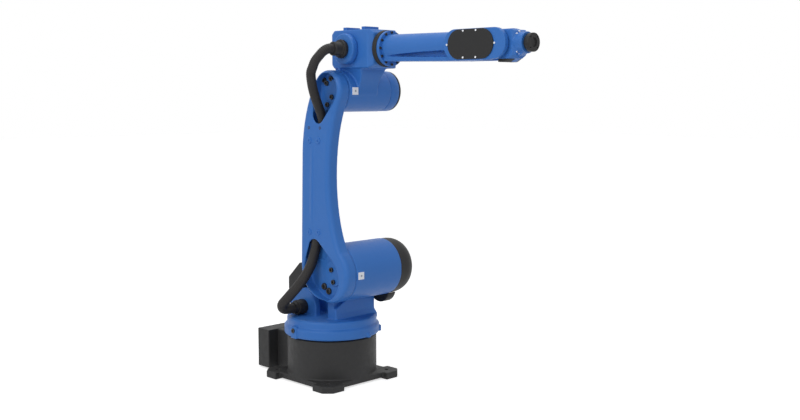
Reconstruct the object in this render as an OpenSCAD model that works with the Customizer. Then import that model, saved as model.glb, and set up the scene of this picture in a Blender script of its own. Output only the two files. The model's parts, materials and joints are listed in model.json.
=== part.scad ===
// Six-axis jointed robot for tending injection moulding machines.
// X points forward, Y to the left, Z up. The origin is on the floor, on the turning axis.

/* [Reach] */
// Height of the shoulder axis above the floor
shoulder_z = 580; // [570:1:640]
// Distance from the turning axis forward to the shoulder axis
shoulder_x = 175; // [165:1:190]
// Distance from the shoulder axis to the elbow axis
arm_length = 900; // [850:1:1100]
// Height of the forearm axis above the elbow axis
elbow_rise = 201; // [196:1:230]
// Distance from the elbow axis to the wrist axis, along the forearm
forearm_length = 963; // [900:1:1200]
// Distance from the wrist axis to the face of the tool flange
wrist_length = 162; // [155:1:190]

/* [Base] */
// Width of the square base over its four feet
foot_span = 520; // [500:1:530]
// Side of each corner foot
foot_side = 114; // [80:1:120]
// Corner cut off each foot
foot_chamfer = 38; // [20:1:45]
// Width of the base plate between the feet
plate_span = 462; // [440:1:470]
// Gap under the base plate between the feet
plate_lift = 7; // [4:1:14]
// Height of the top of the base plate
plate_top = 34; // [28:1:42]
// Radius of the round base body
base_r = 231; // [220:1:235]
// Height of the top of the base body
base_top = 233; // [225:1:233]
// Distance between neighbouring anchor bolt holes
anchor_spacing = 400; // [390:1:410]
// Radius of an anchor bolt hole
anchor_r = 9; // [6:0.5:11]
// Distance from the turning axis back to the rear face of the connector box
box_back = 434; // [400:1:460]
// Length of the connector box
box_length = 101; // [70:1:110]
// Width of the connector box
box_width = 314; // [260:1:340]
// Height of the top of the connector box
box_top = 213; // [180:1:215]
// Width of the neck that joins the connector box to the base
box_neck_width = 196; // [120:1:200]

/* [Turret] */
// Radius of the turning disc
disc_r = 246; // [236:1:250]
// Height of the underside of the turning disc
disc_bottom = 239; // [239:1:245]
// Height of the step between the disc and the ring above it
disc_top = 292; // [285:1:300]
// Radius of the ring above the disc
ring_r = 232; // [225:1:235]
// Height of the top of the ring
ring_top = 333; // [325:1:338]
// Width of the column that carries the shoulder
column_width = 328; // [316:1:336]
// Radius of the shoulder barrel
shoulder_r = 145; // [138:1:150]
// Distance from the middle plane out to the motor end of the shoulder barrel
shoulder_end = 196; // [180:1:210]
// Length of the domed motor cap
motor_cap_length = 108; // [90:1:120]

/* [Lower arm] */
// Distance from the middle plane to the inner face of the lower arm
arm_inner = 118; // [114:1:122]
// Thickness of the lower arm
arm_thickness = 64; // [62:1:72]
// Radius of the rounded outer edge of the lower arm
arm_round = 22; // [16:1:30]
// Depth of the two open pockets in the lower arm
pocket_depth = 50; // [40:1:54]
// Radius of the elbow head of the lower arm
elbow_head_r = 101; // [96:1:104]
// Wall between the hose channel and the edge of the lower arm
channel_wall = 14; // [10:1:20]

/* [Elbow] */
// Radius of the elbow barrel
elbow_r = 102; // [98:1:106]
// Distance from the middle plane out to the motor end of the elbow barrel
elbow_end = 235; // [225:1:250]
// Width of the upper box
top_box_width = 190; // [180:1:200]
// Height of the upper box
top_box_height = 184; // [170:1:190]
// Distance from the elbow axis back to the rear of the upper box
top_box_back = 54; // [40:1:70]
// Distance from the elbow axis forward to the front of the upper box
top_box_front = 225; // [215:1:235]
// Cut at the corners of the upper box
top_box_chamfer = 18; // [10:1:22]

/* [Forearm and wrist] */
// Radius of the forearm flange
flange_r = 85; // [80:1:88]
// Radius of the forearm tube
tube_r = 61; // [56:1:62]
// Half of the height of the wrist housing
housing_r = 67; // [64:1:70]
// Width of the wrist housing
housing_width = 150; // [146:1:160]
// Width of the tilting wrist body
wrist_width = 92; // [86:1:94]
// Radius of the tool flange
tool_r = 40; // [38:0.5:45]
// Diameter of the circle of tool screws
tool_pcd = 63; // [60:0.5:66]
// Radius of a tool screw hole
tool_screw_r = 3; // [2.5:0.25:4]
// Radius of the centring bore in the tool flange
tool_bore_r = 20; // [16:0.5:22]

/* [Hoses] */
// Radius of the two hoses
hose_r = 24; // [20:0.5:24]
// Radius of the gland on the turret
turret_gland_r = 38; // [34:1:39]
// Radius of the gland on the upper box
box_gland_r = 44; // [38:1:46]

/* [Hidden] */
$fn = 96;

seat = 0.3;                     // gap left where one moving piece runs on another
joint_gap = 5;                  // gap between two castings at a joint, filled by a seal ring
seal_inset = 2;                 // step from a casting in to its seal ring
robot_blue = "#3f6fb0";
casting_black = "#3a3a3a";
overlap = 20;                   // depth by which a form is sunk into the casting that it grows from

elbow_z = shoulder_z + arm_length;
forearm_z = elbow_z + elbow_rise;
wrist_x = shoulder_x + forearm_length;
tool_x = wrist_x + wrist_length;
arm_outer = arm_inner + arm_thickness;
barrel_inner = arm_inner - joint_gap;

// base
panel_thickness = 6;
panel_margin = 14;
box_corner = 3;

// turret
column_front = 150;             // front face of the column
column_back = -150;
column_near = 104;              // distance from the middle plane to the arm side of the column
column_recess = 20;             // the same, behind the recess beside the gland wall
column_corner = shoulder_x - 91; // where the recess ends
column_rib = 44;                // length of the rib that runs up the column at its recess
column_flare = 16;              // by how much the column widens at its foot and at the barrel
column_step = 389;              // height at which the arm side of the column starts to slope inwards
gland_wall_x = -93;             // centre and radius of the arched wall
gland_wall_z = 370;
gland_wall_r = 97;
gland_wall_outer = arm_inner - 6;
gland_wall_thickness = 34;
gland_x = -92;
gland_z = 373;
gland_length = 55;
motor_rear = -274;              // the turning motor, seen from the side
motor_front = -152;
motor_half = 66;
motor_top = 586;
motor_bottom = 432;
cap_edge = 2;                   // step from the barrel in to its motor cap
cap_skirt = 34;                 // straight part of the motor cap
cap_round = 44;
lobe_x = -10;                   // the lower lobe of the motor end, from the shoulder axis
lobe_z = -115;
lobe_r = 75;
lobe_start = 181;
lobe_length = 38;
mark_size = 36;
mark_thickness = 4;
mark_pad = 44;
pad_rise = 2;
rim_lugs = [[-91, 46, 62], [47, 26, 30], [8, 24, 22]]; // angle, width and height of each lug on the disc
shoulder_mark_y = -90;
elbow_mark_y = -84;

// lower arm: the two pockets, from the shoulder axis and from the elbow axis
arm_rear = -209;                // rear edge of the arm at its foot, from the line between its joints
arm_lean = 14;                  // by how much the rear edge leans forward towards its top
lower_pocket = [-30, -24];
lower_pocket_r = 112;
lower_pocket_top = [-98, 120];
lower_pocket_top_r = 46;
upper_pocket = [-6, 6];
upper_pocket_r = 82;
upper_pocket_foot = [-60, -118];
upper_pocket_foot_r = 40;
hose_clear = 0.6;               // gap between a hose and its channel
channel_y = -(arm_outer - arm_thickness / 2);
floor_y = -arm_outer + pocket_depth;
face_thickness = 7;
shoulder_face_r = 64;
elbow_face_r = 56;

// elbow
box_top_z = forearm_z + top_box_height / 2;
box_bottom_z = forearm_z - top_box_height / 2;
box_front_x = shoulder_x + top_box_front;
box_back_x = shoulder_x - top_box_back;
box_front_cut = 22;             // cut at the two upright front edges of the upper box
motor_cover_start = 165;
end_cap_thickness = 14;
neck_half = 88;
neck_waist = 25;                // by how much each side of the neck draws in towards the barrel
neck_front = shoulder_x + 147;
pad_size = [26, 90, 17];
pad_hole_r = 3.4;
pad_hole_spacing = 70;
pad_front_x = shoulder_x + 122;
pad_rear_x = shoulder_x - 10;
boss_x = shoulder_x + 67;
boss_r = 73;
boss_depth = 35;
boss_face = -top_box_width / 2 - boss_depth;
box_gland_body = 24;
box_gland_length = 66;
gland_neck_r = 33;

// forearm and wrist
seal_length = 28;
flange_x = box_front_x + seal_length;
flange_length = 18;
root_x = flange_x + flange_length;
tube_end = wrist_x - 252;
belly_half = 55;                // half of the width of the flat belly under the tube
belly_drop = 70;                // depth of the belly below the forearm axis, at its front end
tube_taper = 5;                 // by how much the tube is thicker at its root
groove_start = shoulder_x + 300;
groove_half = 36;               // distance from the middle plane to the bottom of the side grooves
housing_start = wrist_x - 287;
fork_x = wrist_x - 122;
fork_gap = 5.7;
fork_half = wrist_width / 2 + fork_gap;
cover_thickness = 6;
cover_half = 66;
cover_x = wrist_x - 127;
cover_r = housing_r - 2;
pivot_r = 40;
wrist_front = tool_x - 32;
wrist_high = 56;
wrist_round = 56;               // radius of the rear end of the wrist body, between the fork arms
wrist_face = wrist_x + 93;      // front face of the wrist body, behind its round boss
wrist_face_cut = 12;
wrist_boss_r = 46;
under_cover_start = wrist_x + 4;
under_cover_end = wrist_x + 50;
under_cover_drop = 13;
chin_x = wrist_x + 56;          // where the narrow chin under the wrist body starts to rise
chin_half = 18;
chin_z = forearm_z - housing_r - under_cover_drop;
bow_x = wrist_x + 34;           // where the cuts on both sides of the chin start, and their slope
bow_tilt = 40;
flange_thickness = 22;
tool_bore_depth = 6;
tool_screw_depth = 14;

// routes of the hoses: each part is given from the place that it keeps to
hose_sides = 12;
lower_route = concat(
    [for (p = [[0, 0, 0], [0, -38, 0], [0, -71, 2], [4, -91, 13], [16, -101, 32]])
        p + [gland_x, -gland_wall_outer - gland_length, gland_z]],
    [for (p = [[-222, -116, -147], [-187, -100, -106], [-161, -84, -71], [-137, -66, -30], [-129, -44, 6],
        [-128, -22, 43], [-128, -7, 81], [-122, 0, 118], [-113, 0, 155], [-106, 0, 210], [-100, 0, 295]])
        p + [shoulder_x, channel_y, shoulder_z]]);
upper_route = concat(
    [for (p = [[0, 0, 0], [0, -26, 0], [-7, -52, -4], [-20, -72, -18], [-36, -83, -43], [-51, -84, -77]])
        p + [boss_x, boss_face - box_gland_length, forearm_z]],
    [for (p = [[1, -125, 85], [-10, -112, 44], [-21, -93, 4], [-32, -69, -36], [-43, -42, -74],
        [-53, -16, -112], [-61, 0, -150], [-66, 0, -184], [-70, 0, -230], [-72, 0, -275]])
        p + [shoulder_x, channel_y, elbow_z]]);

// ---- helpers ----
module rod_x(y, z, r, x0, x1) {
    translate([x0, y, z]) rotate([0, 90, 0]) cylinder(r = r, h = x1 - x0);
}
module rod_y(x, z, r, y0, y1) {
    translate([x, y0, z]) rotate([-90, 0, 0]) cylinder(r = r, h = y1 - y0);
}
// a side profile, drawn as (x, z), between two values of y
module across(y0, y1) {
    translate([0, y1, 0]) rotate([90, 0, 0]) linear_extrude(y1 - y0) children();
}
// a front profile, drawn as (y, z), between two values of x
module along(x0, x1) {
    translate([x0, 0, 0]) rotate([90, 0, 90]) linear_extrude(x1 - x0) children();
}
module chamfered_rect(low, high, cut) {
    polygon([[low.x + cut, low.y], [high.x - cut, low.y], [high.x, low.y + cut], [high.x, high.y - cut],
        [high.x - cut, high.y], [low.x + cut, high.y], [low.x, high.y - cut], [low.x, low.y + cut]]);
}
module stadium(x0, x1, z, r) {
    translate([x0, z - r]) square([x1 - x0, 2 * r]);
    for (x = [x0, x1]) translate([x, z]) circle(r);
}
function polar(centre, r, a) = [centre.x + r * cos(a), centre.y + r * sin(a)];
function arc(centre, r, a0, a1, steps) =
    [for (i = [0:steps]) polar(centre, r, a0 + (a1 - a0) * i / steps)];
function bezier_at(p, t) = p[0] * pow(1 - t, 3) + p[1] * 3 * t * pow(1 - t, 2)
    + p[2] * 3 * t * t * (1 - t) + p[3] * pow(t, 3);
// points of a Bezier curve without its two ends
function bezier(p, steps) = [for (i = [1:steps - 1]) bezier_at(p, i / steps)];

// ---- base ----
module foot() {
    edge = foot_span / 2;
    inner = edge - foot_side;
    linear_extrude(plate_top) polygon([[inner, inner], [edge, inner], [edge, edge - foot_chamfer],
        [edge - foot_chamfer, edge], [inner, edge]]);
}
module base_casting() color(casting_black) difference() {
    union() {
        translate([0, 0, plate_lift]) linear_extrude(plate_top - plate_lift)
            chamfered_rect([-plate_span / 2, -plate_span / 2], [plate_span / 2, plate_span / 2], foot_chamfer);
        for (a = [0:90:270]) rotate(a) foot();
        translate([0, 0, plate_lift]) cylinder(r = base_r, h = base_top - plate_lift);
        translate([-box_back + box_length, -box_neck_width / 2, plate_lift])
            cube([box_back - box_length, box_neck_width, box_top - plate_lift]);
    }
    for (a = [0:90:270]) rotate(a) translate([anchor_spacing / 2, anchor_spacing / 2, -1])
        cylinder(r = anchor_r, h = plate_top + 2);
}
module rear_connector_box() color(casting_black) {
    translate([-box_back, 0, plate_lift]) linear_extrude(box_top - plate_lift)
        chamfered_rect([panel_thickness, -box_width / 2], [box_length, box_width / 2], box_corner);
}
module connector_panel() color(casting_black) {
    translate([-box_back, -box_width / 2 + panel_margin, plate_lift + panel_margin])
        cube([panel_thickness, box_width - 2 * panel_margin, box_top - plate_lift - 2 * panel_margin]);
}
module base_seal_ring() color("#202020") difference() {
    translate([0, 0, base_top]) cylinder(r = base_r - 12, h = disc_bottom - base_top - seat);
    translate([0, 0, base_top - 1]) cylinder(r = base_r - 40, h = disc_bottom - base_top + 2);
}

// ---- turret ----
module turret_casting() color(robot_blue) difference() {
    union() {
        translate([0, 0, disc_bottom]) rotate_extrude()
            polygon(concat([[0, 0], [disc_r - 6, 0], [disc_r, 6], [disc_r, disc_top - disc_bottom - 8],
                [disc_r - 8, disc_top - disc_bottom], [ring_r, disc_top - disc_bottom]],
                arc([ring_r - 14, ring_top - disc_bottom - 14], 14, 0, 90, 6), [[0, ring_top - disc_bottom]]));
        column();
        rod_y(shoulder_x, shoulder_z, shoulder_r, -barrel_inner, shoulder_end);
        mark_seat(shoulder_x, shoulder_mark_y, shoulder_z, shoulder_r);
        motor_seat();
        gland_wall();
        for (lug = rim_lugs) lug(lug[0], lug[1], lug[2]);
    }
    rotate(rim_lugs[0][0]) translate([disc_r - 40, 0, disc_bottom + 40]) rotate([0, 90, 0])
        cylinder(r = 10, h = 80);
}
// a lifting lug on the rim of the disc
module lug(angle, width, height) {
    rotate(angle) translate([disc_r - overlap, -width / 2, disc_bottom]) cube([30, width, height]);
}
module column() {
    far = column_width / 2;
    intersection() {
        across(-far, far + column_flare) polygon([[column_back, ring_top - overlap],
            [column_front + 6, ring_top - overlap], [column_front, ring_top + 30], [column_front, shoulder_z],
            [shoulder_x - shoulder_r + 6, shoulder_z], [shoulder_x - shoulder_r - 60, column_step + 40],
            [column_back, column_step - 10]]);
        union() {
            along(column_corner, column_front + 10) polygon([[-column_near, disc_top],
                [far + column_flare, disc_top], [far + column_flare, ring_top + 2], [far, ring_top + 26],
                [far, shoulder_z - shoulder_r + 2], [far + column_flare, shoulder_z - shoulder_r + 22],
                [far + column_flare, shoulder_z], [-column_near + 96, shoulder_z],
                [-column_near + 62, column_step + 38], [-column_near, column_step]]);
            along(column_corner, column_corner + column_rib) polygon([[-column_near, disc_top],
                [far, disc_top], [far, shoulder_z], [-column_near, shoulder_z]]);
            along(column_back - 10, column_corner + 1) polygon([[-column_recess, disc_top], [far, disc_top],
                [far, shoulder_z], [-column_recess, shoulder_z]]);
        }
    }
}
module gland_wall() {
    across(-gland_wall_outer, -gland_wall_outer + gland_wall_thickness) {
        translate([gland_wall_x, gland_wall_z]) circle(gland_wall_r);
        translate([gland_wall_x - gland_wall_r, ring_top - overlap])
            square([2 * gland_wall_r, gland_wall_z - ring_top + overlap]);
    }
}
module motor_seat() {
    translate([motor_rear + 6, -motor_half + 4, ring_top - overlap])
        cube([motor_front - motor_rear + 10, 2 * motor_half - 8, motor_bottom - ring_top + overlap]);
}
module turning_motor() color(casting_black) across(-motor_half, motor_half)
    polygon([[motor_rear, motor_bottom], [motor_front, motor_bottom], [motor_front, motor_top - 10],
        [motor_front - 10, motor_top], [motor_rear + 92, motor_top], [motor_rear, motor_top - 86]]);
module turret_gland() color("#2a2a2a") rod_y(gland_x, gland_z, turret_gland_r,
    -gland_wall_outer - gland_length, -gland_wall_outer);
module shoulder_motor_cap() color(casting_black) translate([shoulder_x, shoulder_end, shoulder_z])
    rotate([-90, 0, 0]) rotate_extrude() polygon(concat([[0, 0], [shoulder_r - cap_edge, 0]],
        [for (a = [0:6:84]) [(shoulder_r - cap_edge - cap_round) + cap_round * cos(a),
            cap_skirt + (motor_cap_length - cap_skirt) * sin(a)]],
        [[0, motor_cap_length]]));
module motor_cable_box() color(casting_black) difference() {
    rod_y(shoulder_x + lobe_x, shoulder_z + lobe_z, lobe_r - cap_edge, lobe_start,
        shoulder_end + lobe_length);
    rod_y(shoulder_x, shoulder_z, shoulder_r + seat, lobe_start - 1, shoulder_end + lobe_length + 1);
}
module shoulder_seal_ring() color("#28508c") difference() {
    rod_y(shoulder_x, shoulder_z, shoulder_r - seal_inset, -arm_inner + seat, -barrel_inner);
    rod_y(shoulder_x, shoulder_z, shoulder_r - 40, -arm_inner - 1, -barrel_inner + 1);
}
// a flat pad on a barrel, facing forward, which carries an alignment mark
module mark_seat(x, y, z, r) {
    translate([x + r - 8, y - mark_pad / 2, z - mark_pad / 2]) cube([8 + pad_rise, mark_pad, mark_pad]);
}
module mark(x, y, z, r) {
    translate([x + r + pad_rise, y - mark_size / 2, z - mark_size / 2])
        cube([mark_thickness, mark_size, mark_size]);
}
module shoulder_mark() color("white") mark(shoulder_x, shoulder_mark_y, shoulder_z, shoulder_r);

// ---- lower arm ----
// The two edges of the arm seen from its outer side, as points (forward, up) from the shoulder axis.
// Both run from the lowest point to the highest and have the same number of points.
function elbow_head() = [0, arm_length];
function front_edge() = let (s = arm_length) concat(
    arc([0, 0], shoulder_r, -90, 52, 16),
    bezier([polar([0, 0], shoulder_r, 52), [40, 195], [9, 330], [9, s - 420]], 9), [[9, s - 420]],
    bezier([[9, s - 420], [9, s - 280], [37, s - 148], polar(elbow_head(), elbow_head_r, -35)], 9),
    arc(elbow_head(), elbow_head_r, -35, 90, 12));
function rear_edge() = let (s = arm_length) concat(
    arc([0, 0], shoulder_r, 270, 255, 4),
    bezier([polar([0, 0], shoulder_r, 255), [-116, -142], [arm_rear, -98], [arm_rear, 40]], 11),
    [for (i = [0:12]) [arm_rear + arm_lean * i / 12, 40 + (s - 340) * i / 12]],
    bezier([[arm_rear + arm_lean, s - 300], [arm_rear + arm_lean + 5, s - 150], [-138, s - 8],
        polar(elbow_head(), elbow_head_r, 140)], 9),
    arc(elbow_head(), elbow_head_r, 140, 90, 10));
// points p moved by d to the left of the way that they run
function inset(p, d) = let (n = len(p)) [for (i = [0:n - 1])
    let (t = p[(i + 1) % n] - p[(i + n - 1) % n]) p[i] + d * [-t.y, t.x] / norm(t)];
// a plate between two edges that meet at both ends, from y0 (its outer face) to y1, with rounded rims
module rounded_plate(front, rear, y0, y1, r0, r1, steps) {
    m = len(front) - 1;
    n = 2 * m;
    outline = concat(front, [for (i = [m - 1:-1:1]) rear[i]]);
    layers = concat(
        [for (i = [0:steps]) let (a = 90 * i / steps) [y0 + r0 * (1 - cos(a)), r0 * (1 - sin(a))]],
        [for (i = [0:2]) let (a = 90 * i / 2) [y1 - r1 * (1 - sin(a)), r1 * (1 - cos(a))]]);
    last = len(layers) - 1;
    rings = [for (l = layers) [for (q = inset(outline, l[1])) [q.x, l[0], q.y]]];
    across_cap = concat([[0, n - 1, 1]], [for (i = [1:m - 2]) [i, n - i, n - i - 1, i + 1]], [[m - 1, m + 1, m]]);
    polyhedron([for (r = rings) each r], concat(
        [for (k = [0:last - 1], i = [0:n - 1]) [k * n + i, k * n + (i + 1) % n, (k + 1) * n + (i + 1) % n,
            (k + 1) * n + i]],
        across_cap,
        [for (f = across_cap) [for (i = [len(f) - 1:-1:0]) last * n + f[i]]]));
}
module at_shoulder() {
    translate([shoulder_x, 0, shoulder_z]) children();
}
// the angle at which the common tangent of two circles touches them, on the right of the way a to b
function tangent_angle(a, ra, b, rb) = let (d = b - a)
    atan2(d.y, d.x) - acos((ra - rb) / norm(d));
module lower_opening() {
    a = tangent_angle(lower_pocket, lower_pocket_r, lower_pocket_top, lower_pocket_top_r);
    polygon(concat(arc(lower_pocket, lower_pocket_r, -120, a, 20),
        arc(lower_pocket_top, lower_pocket_top_r, a, 170, 10),
        bezier([polar(lower_pocket_top, lower_pocket_top_r, 170), [arm_rear + 9, -10], [arm_rear + 19, -70],
            polar(lower_pocket, lower_pocket_r, -120)], 12)));
}
module upper_opening() {
    head = elbow_head() + upper_pocket;
    foot = elbow_head() + upper_pocket_foot;
    d = foot - head;
    a = acos((upper_pocket_r - upper_pocket_foot_r) / norm(d));
    way = atan2(d.y, d.x);
    polygon(concat(arc(head, upper_pocket_r, way + a, way - a + 360, 20),
        arc(foot, upper_pocket_foot_r, way - a, way + a, 10)));
}
module channel() {
    half = hose_r + hose_clear;
    s = arm_length;
    across(channel_y - half, channel_y + half) polygon([[arm_rear + channel_wall, 60], [-66, 60],
        [-14 - channel_wall, 220], [-9 - channel_wall, 330], [-9 - channel_wall, s - 400],
        [2 - channel_wall, s - 250], [6 - channel_wall, s - 100], [-110, s - 100],
        [arm_rear + arm_lean + 19 + channel_wall, s - 180], [arm_rear + arm_lean + channel_wall, s - 300]]);
}
module lower_arm() color(robot_blue) at_shoulder() difference() {
    rounded_plate(front_edge(), rear_edge(), -arm_outer, -arm_inner, arm_round, 3, 4);
    across(-arm_outer - 1, -arm_outer + pocket_depth) {
        lower_opening();
        upper_opening();
    }
    channel();
}
module gearbox_face(r) {
    rod_y(0, 0, r, floor_y - face_thickness, floor_y);
}
module shoulder_gearbox_face() color("#365f9a") at_shoulder() gearbox_face(shoulder_face_r);
module elbow_gearbox_face() color("#365f9a") at_shoulder() translate([0, 0, arm_length])
    gearbox_face(elbow_face_r);

// ---- elbow ----
// the upper box, with all the edges of its side view cut and its two upright front edges cut too
module upper_box() {
    half = top_box_width / 2;
    intersection() {
        across(-half, half)
            chamfered_rect([box_back_x, box_bottom_z], [box_front_x, box_top_z], top_box_chamfer);
        translate([0, 0, box_bottom_z]) linear_extrude(top_box_height) polygon([[box_back_x, -half],
            [box_front_x - box_front_cut, -half], [box_front_x, -half + box_front_cut],
            [box_front_x, half - box_front_cut], [box_front_x - box_front_cut, half], [box_back_x, half]]);
    }
}
module neck() {
    foot = neck_front - 41;
    half_at_foot = neck_half - neck_waist;
    flank = bezier([[half_at_foot, elbow_z], [half_at_foot, elbow_z + 50], [half_at_foot + 6, elbow_z + 78],
        [neck_half, box_bottom_z + 4]], 8);
    intersection() {
        across(-neck_half, neck_half) polygon(concat(
            arc([shoulder_x, elbow_z], elbow_r - 1, -34, -34, 1), [[foot, elbow_z - 12]],
            bezier([[foot, elbow_z - 12], [foot, elbow_z + 44], [neck_front - 4, elbow_z + 66],
                [neck_front, box_bottom_z]], 8),
            [[neck_front, box_bottom_z + 4], [box_back_x + 14, box_bottom_z + 4], [box_back_x + 14, box_bottom_z],
                polar([shoulder_x, elbow_z], elbow_r - 1, 168), [shoulder_x, elbow_z]]));
        along(box_back_x, neck_front + 1) polygon(concat([[half_at_foot, elbow_z - elbow_r], [half_at_foot, elbow_z]],
            flank, [[neck_half, box_bottom_z + 4], [-neck_half, box_bottom_z + 4]],
            [for (i = [len(flank) - 1:-1:0]) [-flank[i].x, flank[i].y]],
            [[-half_at_foot, elbow_z], [-half_at_foot, elbow_z - elbow_r]]));
    }
}
module elbow_casting() color(robot_blue) {
    union() {
        rod_y(shoulder_x, elbow_z, elbow_r, -barrel_inner, motor_cover_start);
        neck();
        upper_box();
        mark_seat(shoulder_x, elbow_mark_y, elbow_z, elbow_r);
    }
}
module elbow_seal_ring() color("#28508c") difference() {
    rod_y(shoulder_x, elbow_z, elbow_r - seal_inset, -arm_inner + seat, -barrel_inner);
    rod_y(shoulder_x, elbow_z, elbow_r - 34, -arm_inner - 1, -barrel_inner + 1);
}
module elbow_motor_cover() color(robot_blue)
    rod_y(shoulder_x, elbow_z, elbow_r - 1, motor_cover_start, elbow_end - end_cap_thickness);
module elbow_end_cap() color(casting_black)
    rod_y(shoulder_x, elbow_z, elbow_r - 2, elbow_end - end_cap_thickness, elbow_end);
module elbow_mark() color("white") mark(shoulder_x, elbow_mark_y, elbow_z, elbow_r);
module top_pad(x) {
    difference() {
        translate([x - pad_size.x / 2, -pad_size.y / 2, box_top_z]) cube(pad_size);
        for (side = [-1, 1]) translate([x, side * pad_hole_spacing / 2, box_top_z - 1])
            cylinder(r = pad_hole_r, h = pad_size.z + 2);
    }
}
module rear_top_pad() color(robot_blue) top_pad(pad_rear_x);
module front_top_pad() color(robot_blue) top_pad(pad_front_x);
module box_gland_boss() color(robot_blue) rod_y(boss_x, forearm_z, boss_r, boss_face, -top_box_width / 2);
module box_gland() color("#2a2a2a") {
    rod_y(boss_x, forearm_z, box_gland_r, boss_face - box_gland_body, boss_face);
    rod_y(boss_x, forearm_z, gland_neck_r, boss_face - box_gland_length, boss_face - box_gland_body);
}

// ---- forearm ----
module forearm_seal_ring() color("#202020") rod_x(0, forearm_z, flange_r + 2, box_front_x, flange_x - seat);
module forearm_flange() color(robot_blue) rod_x(0, forearm_z, flange_r, flange_x, flange_x + flange_length);
// a flat belly under the tube, down to belly_drop at its front end x1, with its sides at y = +-half
module belly(half, x0, x1, drop) {
    across(-half, half) polygon([[x0, forearm_z], [x1, forearm_z], [x1, forearm_z - belly_drop],
        [x0, forearm_z - drop]]);
}
module tube() {
    translate([root_x, 0, forearm_z]) rotate([0, 90, 0])
        cylinder(r1 = tube_r + tube_taper, r2 = tube_r, h = tube_end - root_x);
}
module forearm_tube() color(robot_blue) union() {
    tube();
    difference() {
        belly(belly_half, root_x, tube_end, tube_r);
        for (side = [-1, 1]) across(side > 0 ? groove_half : -2 * tube_r, side > 0 ? 2 * tube_r : -groove_half)
            polygon([[groove_start, forearm_z - 38], [tube_end + 1, forearm_z - 47],
                [tube_end + 1, forearm_z], [groove_start + 40, forearm_z - 28]]);
    }
}
module wrist_housing() color(robot_blue) difference() {
    across(-housing_width / 2, housing_width / 2) {
        stadium(housing_start + housing_r, wrist_x, forearm_z, housing_r);
        polygon([[housing_start + housing_r, forearm_z], [wrist_x, forearm_z], [wrist_x, forearm_z - housing_r],
            [wrist_x - 30, forearm_z - belly_drop], [tube_end, forearm_z - belly_drop]]);
    }
    translate([fork_x, -fork_half, forearm_z - 2 * housing_r])
        cube([wrist_x + housing_r - fork_x + 1, 2 * fork_half, 4 * housing_r]);
    tube();
    belly(belly_half, root_x, tube_end, tube_r);
}
module wrist_cover(y) across(y, y + cover_thickness) stadium(cover_x - cover_half, cover_x + cover_half,
    forearm_z, cover_r);
module right_wrist_cover() color(casting_black) wrist_cover(-housing_width / 2 - cover_thickness);
module left_wrist_cover() color(casting_black) wrist_cover(housing_width / 2);
module wrist_pivot_right() color("#2a2a2a")
    rod_y(wrist_x, forearm_z, pivot_r, -fork_half + seat, -wrist_width / 2);
module wrist_pivot_left() color("#2a2a2a")
    rod_y(wrist_x, forearm_z, pivot_r, wrist_width / 2, fork_half - seat);
// the two sloping cuts that narrow the wrist body down to its chin
module bow_cuts() {
    for (side = [-1, 1]) translate([bow_x, side * wrist_width / 2, chin_z]) rotate([0, -bow_tilt, side * 45])
        translate([-150, -150, -100]) cube([300, 300, 100]);
}
module wrist_body() color(robot_blue) {
    half = wrist_width / 2;
    difference() {
        intersection() {
            across(-half, half) polygon(concat(arc([wrist_x, forearm_z], wrist_round, 90, 270, 24),
                [[under_cover_start, forearm_z - housing_r], [wrist_face, forearm_z - housing_r],
                    [wrist_face, forearm_z + wrist_high - 6], [wrist_face - 15, forearm_z + wrist_high]]));
            translate([0, 0, forearm_z - 2 * housing_r]) linear_extrude(4 * housing_r)
                polygon([[wrist_x - housing_r, -half], [wrist_face - wrist_face_cut, -half],
                    [wrist_face, -half + wrist_face_cut], [wrist_face, half - wrist_face_cut],
                    [wrist_face - wrist_face_cut, half], [wrist_x - housing_r, half]]);
        }
        bow_cuts();
    }
    across(-chin_half, chin_half) polygon([[under_cover_end, forearm_z], [under_cover_end, chin_z],
        [chin_x, chin_z], [wrist_front, forearm_z - 36], [wrist_front, forearm_z]]);
    rod_x(0, forearm_z, wrist_boss_r, wrist_face - overlap, wrist_front);
}
module wrist_under_cover() color(casting_black) difference() {
    across(-wrist_width / 2, wrist_width / 2) polygon([[under_cover_start, forearm_z - housing_r],
        [under_cover_end, forearm_z - housing_r], [under_cover_end, chin_z], [under_cover_start, chin_z]]);
    bow_cuts();
}
module wrist_seal_ring() color("#202020")
    rod_x(0, forearm_z, tool_r - 8, wrist_front, tool_x - flange_thickness - seat);
module tool_flange() color("#2a2a2a") difference() {
    rod_x(0, forearm_z, tool_r, tool_x - flange_thickness, tool_x);
    rod_x(0, forearm_z, tool_bore_r, tool_x - tool_bore_depth, tool_x + 1);
    for (a = [45:90:315]) rod_x(tool_pcd / 2 * cos(a), forearm_z + tool_pcd / 2 * sin(a), tool_screw_r,
        tool_x - tool_screw_depth, tool_x + 1);
}

// ---- hoses ----
// a tube swept along a list of points
module hose(route, r) {
    n = len(route);
    function way(i) = let (d = route[min(i + 1, n - 1)] - route[max(i - 1, 0)]) d / norm(d);
    function frame(i) = i == 0 ? let (u = cross(way(0), [0.3, 0.2, 0.93])) u / norm(u)
        : let (u = frame(i - 1), w = way(i), v = u - w * (u * w)) v / norm(v);
    points = [for (i = [0:n - 1]) let (u = frame(i), v = cross(way(i), u))
        for (k = [0:hose_sides - 1]) let (a = 360 * k / hose_sides) route[i] + r * (cos(a) * u + sin(a) * v)];
    polyhedron(points, concat(
        [for (i = [0:n - 2], k = [0:hose_sides - 1]) [i * hose_sides + k, (i + 1) * hose_sides + k,
            (i + 1) * hose_sides + (k + 1) % hose_sides, i * hose_sides + (k + 1) % hose_sides]],
        [[for (k = [0:hose_sides - 1]) k], [for (k = [hose_sides - 1:-1:0]) (n - 1) * hose_sides + k]]));
}
module lower_hose() color("#2e2c2d") hose(lower_route, hose_r);
module upper_hose() color("#2e2c2d") hose(upper_route, hose_r);

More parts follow.
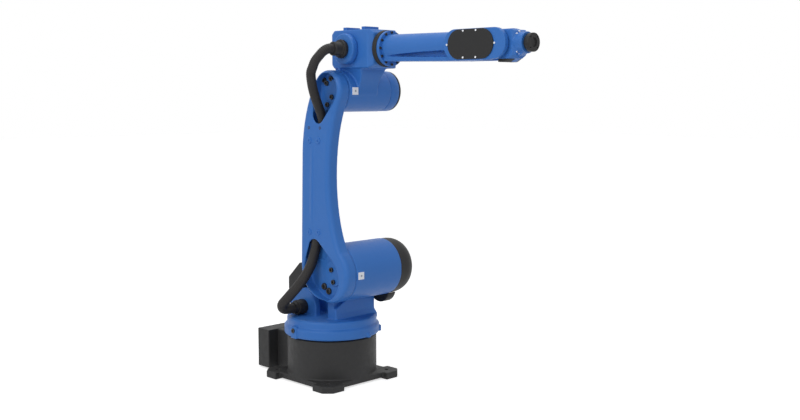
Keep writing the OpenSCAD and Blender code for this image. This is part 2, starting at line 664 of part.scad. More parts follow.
base_casting();
rear_connector_box();
connector_panel();
base_seal_ring();
turret_casting();
turning_motor();
turret_gland();
shoulder_motor_cap();
motor_cable_box();
shoulder_seal_ring();
shoulder_mark();
lower_arm();
shoulder_gearbox_face();
elbow_gearbox_face();
elbow_casting();
elbow_seal_ring();
elbow_motor_cover();
elbow_end_cap();
elbow_mark();
rear_top_pad();
front_top_pad();
box_gland_boss();
box_gland();
forearm_seal_ring();
forearm_flange();
forearm_tube();
wrist_housing();
right_wrist_cover();
left_wrist_cover();
wrist_pivot_right();
wrist_pivot_left();
wrist_body();
wrist_under_cover();
wrist_seal_ring();
tool_flange();
lower_hose();
upper_hose();
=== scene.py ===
import json
import math

import bmesh
import bpy
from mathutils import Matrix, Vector


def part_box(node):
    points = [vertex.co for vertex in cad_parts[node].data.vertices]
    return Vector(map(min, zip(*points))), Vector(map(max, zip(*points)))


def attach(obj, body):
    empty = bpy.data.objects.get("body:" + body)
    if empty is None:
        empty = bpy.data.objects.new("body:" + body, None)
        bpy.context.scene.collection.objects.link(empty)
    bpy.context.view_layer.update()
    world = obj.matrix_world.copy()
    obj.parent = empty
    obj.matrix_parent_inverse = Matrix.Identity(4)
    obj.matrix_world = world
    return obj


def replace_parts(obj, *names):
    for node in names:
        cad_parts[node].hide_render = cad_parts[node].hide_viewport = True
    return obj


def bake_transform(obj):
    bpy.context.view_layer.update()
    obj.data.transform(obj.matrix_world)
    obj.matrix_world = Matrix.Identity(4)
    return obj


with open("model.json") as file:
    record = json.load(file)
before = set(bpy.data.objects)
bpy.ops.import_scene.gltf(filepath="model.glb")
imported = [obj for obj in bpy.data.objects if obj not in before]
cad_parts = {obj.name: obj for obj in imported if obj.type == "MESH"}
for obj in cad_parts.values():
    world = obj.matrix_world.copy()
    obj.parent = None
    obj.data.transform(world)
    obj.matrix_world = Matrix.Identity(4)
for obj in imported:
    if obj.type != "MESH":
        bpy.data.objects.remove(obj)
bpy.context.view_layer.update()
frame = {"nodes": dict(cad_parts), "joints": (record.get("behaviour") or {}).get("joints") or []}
nodes = frame["nodes"]


# ---- Base ----
# A square iron casting with four feet that bolt to the floor, and a round body that holds the
# turning bearing. It is sprayed black over the sandcast skin; the connector box at the back and
# its rear panel are black too.
mix_first, mix_second, mix_result = 6, 7, 2  # sockets of a mix node's two colours and of its result


def linear(hex_colour):
    """An sRGB hex colour as linear RGBA."""
    values = [int(hex_colour[i:i + 2], 16) / 255 for i in (1, 3, 5)]
    return [v / 12.92 if v <= 0.04045 else ((v + 0.055) / 1.055) ** 2.4 for v in values] + [1.0]


def add(owner, kind, inputs=None, **settings):
    """Adds a node to a material or a world. inputs holds socket values, or the sockets that feed them."""
    node = owner.node_tree.nodes.new(kind)
    for name, value in settings.items():
        setattr(node, name, value)
    for name, value in (inputs or {}).items():
        if isinstance(value, bpy.types.NodeSocket):
            owner.node_tree.links.new(value, node.inputs[name])
        else:
            node.inputs[name].default_value = value
    return node


def new_material(name):
    """A material with no nodes yet."""
    material = bpy.data.materials.new(name)
    material.use_nodes = True
    material.node_tree.nodes.clear()
    return material


def coated_metal(name, colour, worn_colour, grain_mm, grain_depth_mm, roughness, sheen):
    """A thin coat over metal: broad soft unevenness, waves of the skin below it, and a grain that is
    drawn coarse enough to show."""
    cloud_mm, skin_mm, skin_depth_mm = 160, 21, 0.6
    material = new_material(name)
    place = add(material, "ShaderNodeTexCoord").outputs["Object"]
    cloud = add(material, "ShaderNodeTexNoise", {"Vector": place, "Scale": 1000 / cloud_mm, "Detail": 3.0})
    grain = add(material, "ShaderNodeTexNoise",
                {"Vector": place, "Scale": 1000 / grain_mm, "Detail": 2.0, "Roughness": 0.55})
    skin = add(material, "ShaderNodeTexNoise", {"Vector": place, "Scale": 1000 / skin_mm, "Detail": 4.0})
    tint = add(material, "ShaderNodeMix", {0: cloud.outputs["Fac"], mix_first: linear(colour),
                                           mix_second: linear(worn_colour)}, data_type="RGBA")
    gloss = add(material, "ShaderNodeMapRange",
                {"Value": skin.outputs["Fac"], "From Min": 0.3, "From Max": 0.7,
                 "To Min": roughness - 0.05, "To Max": roughness + 0.07})
    swell = add(material, "ShaderNodeBump",
                {"Height": skin.outputs["Fac"], "Distance": skin_depth_mm / 1000, "Strength": 0.3})
    bump = add(material, "ShaderNodeBump",
               {"Height": grain.outputs["Fac"], "Normal": swell.outputs["Normal"],
                "Distance": grain_depth_mm / 1000, "Strength": 0.5})
    shader = add(material, "ShaderNodeBsdfPrincipled",
                 {"Base Color": tint.outputs[mix_result], "Roughness": gloss.outputs["Result"],
                  "Normal": bump.outputs["Normal"], "IOR": 1.5, "Specular IOR Level": sheen})
    add(material, "ShaderNodeOutputMaterial", {"Surface": shader.outputs["BSDF"]})
    return material


def finish_with(node, material):
    """Gives a frame node its finish in place of the plain one."""
    slots = nodes[node].data.materials
    slots.clear()
    slots.append(material)


def welded(node):
    """The object of a frame node, with the doubled points of its mesh joined."""
    obj = nodes[node]
    weld = obj.modifiers.new("weld", "WELD")
    weld.merge_threshold = 0.00001
    return obj


def soften_casting(node, grid_mm, passes, keep):
    """Rounds every edge and inner corner as the sand mould leaves them."""
    obj = welded(node)
    grid = obj.modifiers.new("grid", "REMESH")
    grid.mode = "VOXEL"
    grid.voxel_size = grid_mm / 1000
    grid.use_smooth_shade = True
    smooth = obj.modifiers.new("smooth", "SMOOTH")
    smooth.factor = 0.5
    smooth.iterations = passes
    thin = obj.modifiers.new("thin", "DECIMATE")
    thin.ratio = keep


def break_edges(node, width_mm, segments=2):
    """Breaks the sharp edges of a machined, moulded or sheet metal piece."""
    obj = welded(node)
    flat = obj.modifiers.new("flat", "DECIMATE")
    flat.decimate_type = "DISSOLVE"
    flat.angle_limit = math.radians(1)
    bevel = obj.modifiers.new("bevel", "BEVEL")
    bevel.width = width_mm / 1000
    bevel.segments = segments
    bevel.limit_method = "ANGLE"
    bevel.angle_limit = math.radians(32)
    bevel.use_clamp_overlap = False
    bevel.harden_normals = True


def loft(mesh, rings):
    """Joins rings of points, all of one count, into a skin with a face over each end."""
    for low, high in zip(rings, rings[1:]):
        for k in range(len(low)):
            mesh.faces.new((low[k - 1], low[k], high[k], high[k - 1]))
    mesh.faces.new(rings[0][::-1])
    mesh.faces.new(rings[-1])


def turned(mesh, place, axis, profile, sides=24):
    """Adds a turned form to mesh. Each row of profile is (mm along the axis, radius in mm, flats).
    flats is 0 for a round, or the number of flats of a nut or a socket, and radius reaches to them."""
    aim = Vector(axis).to_track_quat("Z", "Y")
    rings = []
    for along, radius, flats in profile:
        sector = 2 * math.pi / flats if flats else 0
        ring = []
        for i in range(sides):
            angle = 2 * math.pi * i / sides
            reach = radius / math.cos(angle % sector - sector / 2) if flats else radius
            point = Vector((reach * math.cos(angle), reach * math.sin(angle), along)) / 1000
            ring.append(mesh.verts.new(Vector(place) + aim @ point))
        rings.append(ring)
    loft(mesh, rings)


def cap_screw(mesh, place, axis, radius, height):
    """Adds a socket cap screw with a head of this radius that stands height proud of place, in mm."""
    turned(mesh, place, axis,
           [(-1, radius, 0), (height - 0.12 * radius, radius, 0), (height, 0.88 * radius, 0),
            (height, 0.62 * radius, 0), (height - 0.05 * radius, 0.5 * radius, 6),
            (height * 0.35, 0.5 * radius, 6)])


def piece(name, mesh, material, body):
    """Makes an object of a finished mesh, shades it, gives it its material and lets it ride on body."""
    data = bpy.data.meshes.new(name)
    mesh.to_mesh(data)
    mesh.free()
    data.shade_smooth()
    data.set_sharp_from_angle(angle=math.radians(35))
    data.materials.append(material)
    obj = bpy.data.objects.new(name, data)
    bpy.context.scene.collection.objects.link(obj)
    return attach(obj, body) if body else obj


# black enamel on iron: a dull satin that shows the sand grain in glancing light
black_enamel = coated_metal("black enamel on cast iron", "#2a2a2a", "#303031", 2.2, 0.10, 0.55, 0.3)
for node in ("base_casting", "rear_connector_box", "connector_panel"):
    finish_with(node, black_enamel)
soften_casting("base_casting", 3.5, 5, 0.35)
break_edges("rear_connector_box", 3.0)
break_edges("connector_panel", 1.5)

# The rear panel is held by eight flush M5 screws of black oxide steel, which is near black with a
# low gloss. They sit along the panel's edges, this far in.
black_screw = coated_metal("black oxide steel", "#1d1d1e", "#242424", 1.2, 0.01, 0.42, 0.5)
panel_screw_inset = 0.010
flush_head = [(-1, 4.6, 0), (0.2, 4.6, 0), (0.3, 4.3, 0), (0.3, 1.9, 6), (-0.9, 1.9, 6)]
low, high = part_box("connector_panel")
middle = (low + high) / 2
screws = bmesh.new()
for y in (low.y + panel_screw_inset, middle.y, high.y - panel_screw_inset):
    for z in (low.z + panel_screw_inset, middle.z, high.z - panel_screw_inset):
        if (y, z) != (middle.y, middle.z):
            turned(screws, (low.x, y, z), (-1, 0, 0), flush_head)
piece("connector_panel_screws", screws, black_screw, "base")


# ---- Seal rings ----
# Rings of nitrile rubber that close the gap under the turret, at the root of the forearm and behind
# the tool flange. They are moulded, so they are matt and slightly dusty. The rings of shoulder and
# elbow are painted blue with their castings.
def plain_polymer(name, colour, second_colour, grain_mm, depth_mm, roughness, sheen=0.35):
    """Moulded rubber or plastic, or enamel, with an even grain that is drawn coarser than it is."""
    patch_mm = 50
    material = new_material(name)
    place = add(material, "ShaderNodeTexCoord").outputs["Object"]
    patch = add(material, "ShaderNodeTexNoise", {"Vector": place, "Scale": 1000 / patch_mm, "Detail": 2.0})
    grain = add(material, "ShaderNodeTexVoronoi", {"Vector": place, "Scale": 1000 / grain_mm},
                feature="SMOOTH_F1")
    tint = add(material, "ShaderNodeMix", {0: patch.outputs["Fac"], mix_first: linear(colour),
                                           mix_second: linear(second_colour)}, data_type="RGBA")
    gloss = add(material, "ShaderNodeMapRange",
                {"Value": patch.outputs["Fac"], "From Min": 0.3, "From Max": 0.7,
                 "To Min": roughness - 0.04, "To Max": roughness + 0.05})
    bump = add(material, "ShaderNodeBump",
               {"Height": grain.outputs["Distance"], "Distance": depth_mm / 1000, "Strength": 0.4})
    shader = add(material, "ShaderNodeBsdfPrincipled",
                 {"Base Color": tint.outputs[mix_result], "Roughness": gloss.outputs["Result"],
                  "Normal": bump.outputs["Normal"], "IOR": 1.49, "Specular IOR Level": sheen})
    add(material, "ShaderNodeOutputMaterial", {"Surface": shader.outputs["BSDF"]})
    return material


nitrile = plain_polymer("moulded nitrile rubber", "#242424", "#2b2a29", 1.2, 0.02, 0.72)
for node in ("base_seal_ring", "forearm_seal_ring", "wrist_seal_ring"):
    finish_with(node, nitrile)
break_edges("forearm_seal_ring", 3.0, 3)


# ---- Turret ----
# One aluminium sand casting that turns on the base: disc, column and shoulder barrel, with an arched
# wall that holds the hose gland. It is powder coated blue with a semi-gloss, slightly rippled skin.
blue_coat = coated_metal("blue powder coat on cast aluminium", "#326fbe", "#3873c0", 3.0, 0.05, 0.42, 0.3)
for node in ("turret_casting", "shoulder_seal_ring"):
    finish_with(node, blue_coat)
soften_casting("turret_casting", 3.2, 12, 0.3)

# A black plug closes the hole in the lifting lug on the disc's rim. The hole's mouth is given by its
# angle round the turning axis, its distance from that axis and its height.
lug_angle, lug_reach, lug_height = math.radians(-91), 0.256, 0.279
outwards = Vector((math.cos(lug_angle), math.sin(lug_angle), 0))
plug = bmesh.new()
turned(plug, outwards * lug_reach + Vector((0, 0, lug_height)), outwards,
       [(-20, 9.7, 0), (0.8, 9.7, 0), (1.2, 12, 0), (3.4, 12, 0), (4, 11.2, 0), (4, 5, 6), (0, 4.8, 6)], 36)
piece("rim_plug", plug, black_screw, "turret")


# ---- Motors and covers ----
# Motor housings and covers are moulded or pressed black shells with a fine spark-eroded grain,
# which gives them an even, soft sheen.
black_shell = plain_polymer("grained black polyamide", "#202021", "#262627", 1.6, 0.05, 0.5, 0.28)
for node in ("turning_motor", "shoulder_motor_cap", "motor_cable_box", "elbow_end_cap"):
    finish_with(node, black_shell)
break_edges("turning_motor", 5.0, 3)
break_edges("motor_cable_box", 4.0, 3)
break_edges("elbow_end_cap", 5.0, 3)

# four M6 screws hold the cover over the turning motor, on its rear face
motor_screw_inset, motor_screw_row = 0.016, 0.070
low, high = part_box("turning_motor")
screws = bmesh.new()
for y in (low.y + motor_screw_inset, high.y - motor_screw_inset):
    for z in (low.z + motor_screw_inset, low.z + motor_screw_row):
        cap_screw(screws, (low.x, y, z), (-1, 0, 0), 5.0, 4.0)
piece("turning_motor_screws", screws, black_screw, "turret")


# ---- Hose glands ----
# Each hose leaves its casting through a gland of grained black polyamide. A ribbed union nut sits
# round its root, and a clamping lip with a sleeve holds the hose where it comes out.
def grip_ribs(mesh, place, radius, length, ribs):
    """Adds ribs for grip round a nut of this radius and length in mm, which points to -Y."""
    rib = [(5, 0.6, 0), (6, 2.2, 0), (length - 7, 2.2, 0), (length - 6, 0.6, 0)]
    for i in range(ribs):
        angle = 2 * math.pi * i / ribs
        outwards = Vector((math.cos(angle), 0, math.sin(angle)))
        turned(mesh, Vector(place) + outwards * (radius - 0.8) / 1000, (0, -1, 0), rib, 8)


break_edges("turret_gland", 4.0, 3)
break_edges("box_gland", 6.0, 3)
lip_radius = 33.5
for name, body, nut_length, inner_radius, sleeve in (("turret_gland", "turret", 30, 26, 18),
                                                     ("box_gland", "elbow", 24, 24, 3)):
    finish_with(name, black_shell)
    low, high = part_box(name)
    middle = (low + high) / 2
    nut = bmesh.new()
    grip_ribs(nut, (middle.x, high.y, middle.z), (high.x - low.x) * 500, nut_length, 20)
    turned(nut, (middle.x, low.y, middle.z), (0, -1, 0),
           [(-12, lip_radius - 6.5, 0), (-11, lip_radius, 0), (-3, lip_radius, 0), (1, lip_radius - 2.5, 0),
            (sleeve, inner_radius + 4, 0), (sleeve, inner_radius + 0.2, 0), (-4, inner_radius, 0)], 48)
    piece(name + "_nut", nut, black_shell, body)


# ---- Lower arm ----
# A long curved aluminium casting, hollow for the hoses, with an open pocket at each end over the
# gearbox bolts.
for node in ("lower_arm", "shoulder_gearbox_face", "elbow_gearbox_face"):
    finish_with(node, blue_coat)
soften_casting("lower_arm", 3.2, 6, 0.3)
for node in ("shoulder_gearbox_face", "elbow_gearbox_face"):
    break_edges(node, 1.5)

# Socket screws in the two pockets, each given as its joint, then mm forward and up from it, and its
# head's radius. Those within face_reach of the joint sit on the gearbox's face, the others on the
# pocket's floor.
axis_at = {joint["name"]: Vector(joint["pos_m"]) for joint in frame["joints"]}
shoulder, elbow, wrist = axis_at["j2_shoulder"], axis_at["j3_elbow"], axis_at["j5_wrist"]
face_reach = 54
pocket_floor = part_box("shoulder_gearbox_face")[1].y
gearbox_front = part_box("shoulder_gearbox_face")[0].y
screws = bmesh.new()
for joint, forward, up, radius in ((shoulder, -76, -76, 17), (shoulder, -41, -95, 17), (shoulder, 0, -44, 12),
                                   (shoulder, -14, 16, 12), (elbow, -63, 53, 12.5), (elbow, -13, 60, 12.5),
                                   (elbow, -38, 38, 12.5), (elbow, -1, -29, 12), (elbow, -43, -66, 12)):
    seat_y = gearbox_front if math.hypot(forward, up) < face_reach else pocket_floor
    cap_screw(screws, (joint.x + forward / 1000, seat_y, joint.z + up / 1000), (0, -1, 0), radius, 10.0)
piece("pocket_screws", screws, black_screw, "lower_arm")

# Two plugged holes for a lifting eye, four screws in cast bosses that were painted over, and the
# soft ridge down the middle of the arm's outer face. Places are (forward, up) in mm.
outer_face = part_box("lower_arm")[0].y


def on_arm(forward, up):
    """A point of the arm's outer face, forward and up in mm from the shoulder."""
    return Vector((shoulder.x + forward / 1000, outer_face, shoulder.z + up / 1000))


plugs, cast = bmesh.new(), bmesh.new()
for forward, up in ((-129, 720), (-46, 720)):
    turned(plugs, on_arm(forward, up), (0, -1, 0),
           [(-1, 7.5, 0), (0.3, 7.5, 0), (0.7, 6.8, 0), (0.7, 4.2, 0), (0.4, 3.8, 6), (-0.5, 3.8, 6)])
for forward, up in ((-126, 657), (-60, 657), (-133, 200), (-65, 203)):
    turned(cast, on_arm(forward, up), (0, -1, 0),
           [(-3, 17, 0), (0.2, 16.5, 0), (3.4, 14.5, 0), (4.2, 12.5, 0), (4.2, 6, 0), (3.4, 5, 0),
            (1.2, 4.6, 0), (1.2, 1, 0)], 40)
piece("arm_face_plugs", plugs, black_screw, "lower_arm")

# The ridge leans forward as it climbs, and fades out over a sixth of its height at each end. Its
# section is (forward, rise), and its edges lie ridge_root deep in the casting.
ridge_foot, ridge_height, ridge_lean = (-115, 235), 405, 12
ridge_section = [(-22, 0), (-11, 1.7), (-3, 3.3), (1, 3.5), (5, 2.1), (9, 0)]
ridge_root, fade, least_swell, ridge_steps = 0.3, 6, 0.05, 40
rings = []
for i in range(ridge_steps + 1):
    part = i / ridge_steps
    swell = max(least_swell, min(1, fade * part, fade * (1 - part)))
    spine = on_arm(ridge_foot[0] + ridge_lean * part, ridge_foot[1] + ridge_height * part)
    rings.append([cast.verts.new(spine + Vector((forward, ridge_root - rise * swell, 0)) / 1000)
                  for forward, rise in ridge_section])
loft(cast, rings)
bmesh.ops.recalc_face_normals(cast, faces=cast.faces[:])
piece("arm_face_bosses", cast, blue_coat, "lower_arm")


# ---- Elbow ----
# The elbow casting carries the forearm drive in its upper box and the elbow motor in its barrel. It
# has two pads on top for brackets, and a round boss on its side where the upper hose comes out.
for node in ("elbow_casting", "elbow_seal_ring", "elbow_motor_cover", "rear_top_pad", "front_top_pad",
             "box_gland_boss"):
    finish_with(node, blue_coat)
soften_casting("elbow_casting", 3.0, 16, 0.3)
break_edges("elbow_motor_cover", 1.5)
for node in ("rear_top_pad", "front_top_pad"):
    break_edges(node, 1.2)
break_edges("box_gland_boss", 6.0, 3)


# ---- Forearm tube ----
# A slim aluminium casting with the blue coat: a round top on a flat belly. It turns in the upper
# box, and its flange is screwed to the roll gearbox.
finish_with("forearm_flange", blue_coat)
break_edges("forearm_flange", 3.0, 3)

# Between top and belly, an undercut groove deepens along each side towards the wrist, with a lip
# above it and a shelf below. Sizes are in mm, heights from the tube's axis.
root_radius, taper = 66, 5
root_belly, belly_fall, belly_half = 61, 9, 55
root_lip, front_lip, lip_curve = -36.5, -21, 2.2
root_shelf, front_shelf, shelf_curve = -38, -50, 1.6
groove_depth = 25
groove_start, groove_run = 0.02, 0.3  # shares of the tube's length
tube_steps, arc_steps = 32, 16


def tube_side(part):
    """One side of the tube's outline, from the top down, as (half width, height) in mm. part runs from
    0 at the root to 1 at the wrist."""
    radius = root_radius - taper * part
    belly = root_belly + belly_fall * part
    lip = front_lip + (root_lip - front_lip) * (1 - part) ** lip_curve
    shelf = front_shelf + (root_shelf - front_shelf) * (1 - part) ** shelf_curve
    rise = min(1, max(0, (part - groove_start) / groove_run))
    depth = groove_depth * rise * rise * (3 - 2 * rise)
    lip_angle = math.degrees(math.asin(lip / radius))
    angles = [math.radians(90 - (90 - lip_angle) * k / arc_steps) for k in range(arc_steps + 1)]
    top = [(radius * math.cos(a), radius * math.sin(a)) for a in angles]
    groove = [(top[-1][0] - 0.2 * depth, lip - 1), (belly_half - depth, lip - 3),
              (belly_half - depth, shelf + 2), (belly_half - 1 - 0.1 * depth, shelf + 0.5)]
    wall = [(belly_half, shelf - 1), (belly_half, 4 - belly), (belly_half - 1.2, 1.2 - belly),
            (belly_half - 4, -belly)]
    return top + groove + wall


root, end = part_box("forearm_flange")[1].x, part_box("forearm_tube")[1].x
tube = bmesh.new()
rings = []
for i in range(tube_steps + 1):
    part = i / tube_steps
    flank = tube_side(part)
    outline = flank + [(-across, up) for across, up in flank[:0:-1]]
    rings.append([tube.verts.new((root + (end - root) * part, across / 1000, wrist.z + up / 1000))
                  for across, up in outline])
loft(tube, rings)
bmesh.ops.recalc_face_normals(tube, faces=tube.faces[:])
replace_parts(piece("grooved_tube", tube, blue_coat, "forearm"), "forearm_tube")

# twelve M8 screws hold the tube's flange to the roll gearbox
flange_screws, flange_screw_circle = 12, 0.0755
low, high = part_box("forearm_flange")
screws = bmesh.new()
for i in range(flange_screws):
    angle = 2 * math.pi * i / flange_screws
    place = (high.x, flange_screw_circle * math.cos(angle), wrist.z + flange_screw_circle * math.sin(angle))
    cap_screw(screws, place, (1, 0, 0), 6.5, 5.0)
piece("flange_screws", screws, black_screw, "forearm")


# ---- Wrist ----
# The tube ends in a forked housing of cast aluminium, with an oval black cover on each side. The
# wrist tilts on two black pivots between the arms of the fork, and its front carries the black tool
# flange.
for node in ("wrist_housing", "wrist_body"):
    finish_with(node, blue_coat)
soften_casting("wrist_housing", 2.2, 5, 0.35)
soften_casting("wrist_body", 1.8, 5, 0.4)
for node in ("wrist_pivot_right", "wrist_pivot_left", "tool_flange", "right_wrist_cover", "left_wrist_cover"):
    finish_with(node, black_shell)
for node in ("right_wrist_cover", "left_wrist_cover"):
    break_edges(node, 2.0)
break_edges("tool_flange", 1.5)

# zinc plated steel: a pale, cloudy silver that catches the light, so the screws stand out
bloom_mm, bloom_depth_mm = 3, 0.02
zinc = new_material("zinc plated steel")
place = add(zinc, "ShaderNodeTexCoord").outputs["Object"]
bloom = add(zinc, "ShaderNodeTexNoise", {"Vector": place, "Scale": 1000 / bloom_mm, "Detail": 3.0})
gloss = add(zinc, "ShaderNodeMapRange", {"Value": bloom.outputs["Fac"], "To Min": 0.24, "To Max": 0.42})
bump = add(zinc, "ShaderNodeBump",
           {"Height": bloom.outputs["Fac"], "Distance": bloom_depth_mm / 1000, "Strength": 0.4})
shader = add(zinc, "ShaderNodeBsdfPrincipled",
             {"Base Color": linear("#e4e6ea"), "Metallic": 1.0, "Roughness": gloss.outputs["Result"],
              "Normal": bump.outputs["Normal"]})
add(zinc, "ShaderNodeOutputMaterial", {"Surface": shader.outputs["BSDF"]})

# six M5 screws for each oval cover: one just past each end, and four on the cover itself
past_end, back_pair, front_pair, pair_height = 0.006, -0.038, 0.035, 0.0575
low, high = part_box("right_wrist_cover")
middle = (low + high) / 2
screws = bmesh.new()
for side in (-1, 1):
    for x in (low.x - past_end, high.x + past_end):
        cap_screw(screws, (x, -side * high.y, wrist.z), (0, side, 0), 4.6, 5.0)
    for x in (middle.x + back_pair, middle.x + front_pair):
        for up in (-pair_height, pair_height):
            cap_screw(screws, (x, -side * low.y, wrist.z + up), (0, side, 0), 4.4, 2.6)
piece("wrist_cover_screws", screws, zinc, "forearm")

# six M5 screws on the wrist's front face, above and below the flange, as (across, up) in mm
wrist_face = wrist.x + 0.093
screws = bmesh.new()
for across, up in ((-31, 38), (-15, 46.5), (-29, -38), (-16, -46), (31, 38), (29, -38)):
    cap_screw(screws, (wrist_face, across / 1000, wrist.z + up / 1000), (1, 0, 0), 4.6, 4.0)
piece("wrist_screws", screws, zinc, "wrist")

# The black tray under the wrist. Its floor is shorter than its upper rim, and both are drawn in to
# the chin at the front. Sizes are in mm from the wrist's axis.
tray_rows = ((-80, 54), (-67, 76))  # (height, front) of the floor and of the rim
tray_back, tray_half, nose_length, nose_half = 4, 46, 20, 26
tray = bmesh.new()
rings = []
for up, front in tray_rows:
    outline = [(tray_back, -tray_half), (front - nose_length, -tray_half), (front, -nose_half),
               (front, nose_half), (front - nose_length, tray_half), (tray_back, tray_half)]
    rings.append([tray.verts.new((wrist.x + forward / 1000, across / 1000, wrist.z + up / 1000))
                  for forward, across in outline])
loft(tray, rings)
bmesh.ops.recalc_face_normals(tray, faces=tray.faces[:])
bmesh.ops.bevel(tray, geom=tray.edges[:], offset=0.0015, segments=2, affect="EDGES")
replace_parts(piece("wrist_tray", tray, black_shell, "wrist"), "wrist_under_cover")


# ---- Marks ----
# Small plates at the two big joints show where the robot's zero position is. They are enamelled
# clean white, and each is held by one rivet of dull grey anodised aluminium.
mark_plate = plain_polymer("white enamelled plate", "#eceff7", "#f2f4fa", 1.5, 0.01, 0.35)
mark_rivet = plain_polymer("grey anodised rivet", "#9aa3ad", "#a2abb5", 1.0, 0.01, 0.4)
for node, body in (("shoulder_mark", "turret"), ("elbow_mark", "elbow")):
    finish_with(node, mark_plate)
    break_edges(node, 0.8)
    low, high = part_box(node)
    middle = (low + high) / 2
    rivet = bmesh.new()
    turned(rivet, (high.x, middle.y, middle.z), (1, 0, 0),
           [(-1, 5.5, 0), (0.3, 5.5, 0), (0.9, 4.6, 0), (1.1, 2.5, 0)])
    piece(node + "_rivet", rivet, mark_rivet, body)


# ---- Hoses ----
# Two corrugated polyamide conduits carry the cables past the shoulder and the elbow. They are soft
# black with a little sheen on the ribs, which stand 2.5 mm proud at a pitch of 8 mm.
conduit = plain_polymer("corrugated polyamide conduit", "#272525", "#2d2b2b", 1.0, 0.02, 0.5, 0.28)
rib_height, rib_pitch, hose_sides = 0.0025, 0.008, 28
lower_radius, upper_radius = 0.026, 0.0235


def smooth_route(points, step):
    """Points step apart on a smooth curve through points."""
    steps = 24
    ends = [2 * points[0] - points[1]] + points + [2 * points[-1] - points[-2]]
    fine = []
    for a, b, c, d in zip(ends, ends[1:], ends[2:], ends[3:]):
        for i in range(steps):
            t = i / steps
            fine.append(0.5 * (2 * b + (c - a) * t + (2 * a - 5 * b + 4 * c - d) * t * t
                               + (3 * b - a - 3 * c + d) * t ** 3))
    fine.append(points[-1])
    spaced, gone = [fine[0]], 0.0
    for a, b in zip(fine, fine[1:]):
        length = (b - a).length
        while gone + length >= step * len(spaced):
            spaced.append(a.lerp(b, (step * len(spaced) - gone) / length))
        gone += length
    return spaced


def ribbed_hose(name, points, radius):
    """A corrugated conduit along points, with ribs up to radius. Four rings make one rib."""
    dips = (rib_height, 0.15 * rib_height, 0, 0.15 * rib_height)
    spaced = smooth_route(points, rib_pitch / len(dips))
    mesh = bmesh.new()
    side = Vector((1, 0, 0))
    rings = []
    for i, point in enumerate(spaced):
        ahead = (spaced[min(i + 1, len(spaced) - 1)] - spaced[max(i - 1, 0)]).normalized()
        side = (side - ahead * side.dot(ahead)).normalized()
        across = ahead.cross(side)
        reach = radius - dips[i % len(dips)]
        rings.append([mesh.verts.new(point + reach * (side * math.cos(a) + across * math.sin(a)))
                      for a in (2 * math.pi * k / hose_sides for k in range(hose_sides))])
    loft(mesh, rings)
    obj = piece(name, mesh, conduit, None)
    obj.data.set_sharp_from_angle(angle=math.radians(180))
    return obj


def routed(start, near_start, joint, near_joint):
    """A route in metres: a first part given in mm from start, and a second from joint."""
    return [start + Vector(p) / 1000 for p in near_start] + [joint + Vector(p) / 1000 for p in near_joint]


channel = (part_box("lower_arm")[0].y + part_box("lower_arm")[1].y) / 2
low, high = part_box("turret_gland")
lower = routed(Vector(((low.x + high.x) / 2, low.y, (low.z + high.z) / 2)),
               [(0, 0, 0), (0, -38, 0), (0, -69, 2), (5, -89, 14), (18, -99, 34)],
               Vector((shoulder.x, channel, shoulder.z)),
               [(-221, -115, -147), (-187, -100, -106), (-161, -84, -71), (-137, -66, -30), (-129, -44, 6),
                (-128, -22, 43), (-128, -7, 81), (-122, 0, 118), (-113, 0, 155), (-106, 0, 210),
                (-100, 0, 295)])
low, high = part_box("box_gland")
upper = routed(Vector(((low.x + high.x) / 2, low.y, (low.z + high.z) / 2)),
               [(0, 0, 0), (0, -26, -1), (-8, -50, -14), (-20, -68, -37), (-35, -80, -62), (-49, -82.6, -90)],
               Vector((elbow.x, channel, elbow.z)),
               [(1, -125, 85), (-10, -112, 44), (-21, -93, 4), (-32, -69, -36), (-43, -42, -74),
                (-53, -16, -112), (-61, 0, -150), (-66, 0, -184), (-70, 0, -230), (-72, 0, -275)])
lower_conduit = ribbed_hose("lower_conduit", lower, lower_radius)
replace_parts(lower_conduit, "lower_hose")
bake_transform(lower_conduit)
upper_conduit = ribbed_hose("upper_conduit", upper, upper_radius)
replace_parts(upper_conduit, "upper_hose")
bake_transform(upper_conduit)


# ---- Studio ----
# A pale floor, a white surround and three large soft lamps. The camera stands at head height, in
# front and to the right of the robot.
def seen_directly(owner):
    """A socket that is 1 for what is looked at, also in a mirror or through glass, and 0 for the rest."""
    rays = add(owner, "ShaderNodeLightPath")
    seen = add(owner, "ShaderNodeMath",
               {0: rays.outputs["Is Camera Ray"], 1: rays.outputs["Is Glossy Ray"]}, operation="MAXIMUM")
    seen = add(owner, "ShaderNodeMath",
               {0: seen.outputs[0], 1: rays.outputs["Is Transmission Ray"]}, operation="MAXIMUM")
    return seen.outputs[0]


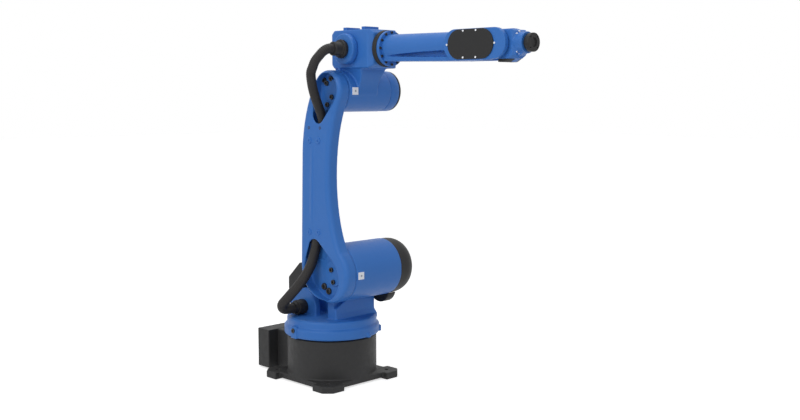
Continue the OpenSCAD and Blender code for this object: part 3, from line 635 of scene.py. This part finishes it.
# the floor is lifted to white where it is looked at, and keeps its shadows
floor_half, floor_z, floor_lift = 30, -0.001, 0.62
floor_mesh = bpy.data.meshes.new("floor")
floor_mesh.from_pydata([(-floor_half, -floor_half, floor_z), (floor_half, -floor_half, floor_z),
                        (floor_half, floor_half, floor_z), (-floor_half, floor_half, floor_z)], [],
                       [(0, 1, 2, 3)])
floor = bpy.data.objects.new("floor", floor_mesh)
bpy.context.scene.collection.objects.link(floor)
floor_paint = new_material("pale floor")
lift = add(floor_paint, "ShaderNodeMapRange",
           {"Value": seen_directly(floor_paint), "To Min": 0.0, "To Max": floor_lift})
shader = add(floor_paint, "ShaderNodeBsdfPrincipled",
             {"Base Color": linear("#e8e8e8"), "Roughness": 0.9, "Emission Color": linear("#ffffff"),
              "Emission Strength": lift.outputs["Result"]})
add(floor_paint, "ShaderNodeOutputMaterial", {"Surface": shader.outputs["BSDF"]})
floor_mesh.materials.append(floor_paint)

# the surround shows as pure white, and lights the robot with less than that
room_light = 0.42
world = bpy.data.worlds.new("white room")
bpy.context.scene.world = world
world.use_nodes = True
world.node_tree.nodes.clear()
strength = add(world, "ShaderNodeMapRange",
               {"Value": seen_directly(world), "To Min": room_light, "To Max": 1.0})
room = add(world, "ShaderNodeBackground",
           {"Color": linear("#ffffff"), "Strength": strength.outputs["Result"]})
add(world, "ShaderNodeOutputWorld", {"Surface": room.outputs["Background"]})


def soft_lamp(name, place, target, size, watts):
    """A square studio lamp that shines from place towards target."""
    light = bpy.data.lights.new(name, "AREA")
    light.size = size
    light.energy = watts
    lamp = bpy.data.objects.new(name, light)
    lamp.location = place
    lamp.rotation_euler = (Vector(target) - Vector(place)).to_track_quat("-Z", "Y").to_euler()
    bpy.context.scene.collection.objects.link(lamp)


robot_middle = (0.4, 0.0, 0.9)
soft_lamp("key", (0.6, -4.7, 4.2), robot_middle, 2.4, 88)
soft_lamp("fill", (4.6, -3.4, 3.2), robot_middle, 2.6, 38)
soft_lamp("top", (0.6, 0.6, 5.2), robot_middle, 3.0, 50)

# the camera looks back along the robot from its front right, turned and dipped by these angles
camera_turn, camera_dip = math.radians(45.165), math.radians(6.251)
scene = bpy.context.scene
scene.view_settings.view_transform = "Standard"
lens = bpy.data.cameras.new("camera")
lens.sensor_width = 36
lens.lens = 47.15
lens.clip_end = 100
camera = bpy.data.objects.new("camera", lens)
camera.location = (4.0516, -3.5286, 1.4597)
heading = Vector((-math.sin(camera_turn) * math.cos(camera_dip), math.cos(camera_turn) * math.cos(camera_dip),
                  -math.sin(camera_dip)))
camera.rotation_euler = heading.to_track_quat("-Z", "Y").to_euler()
scene.collection.objects.link(camera)
scene.camera = camera
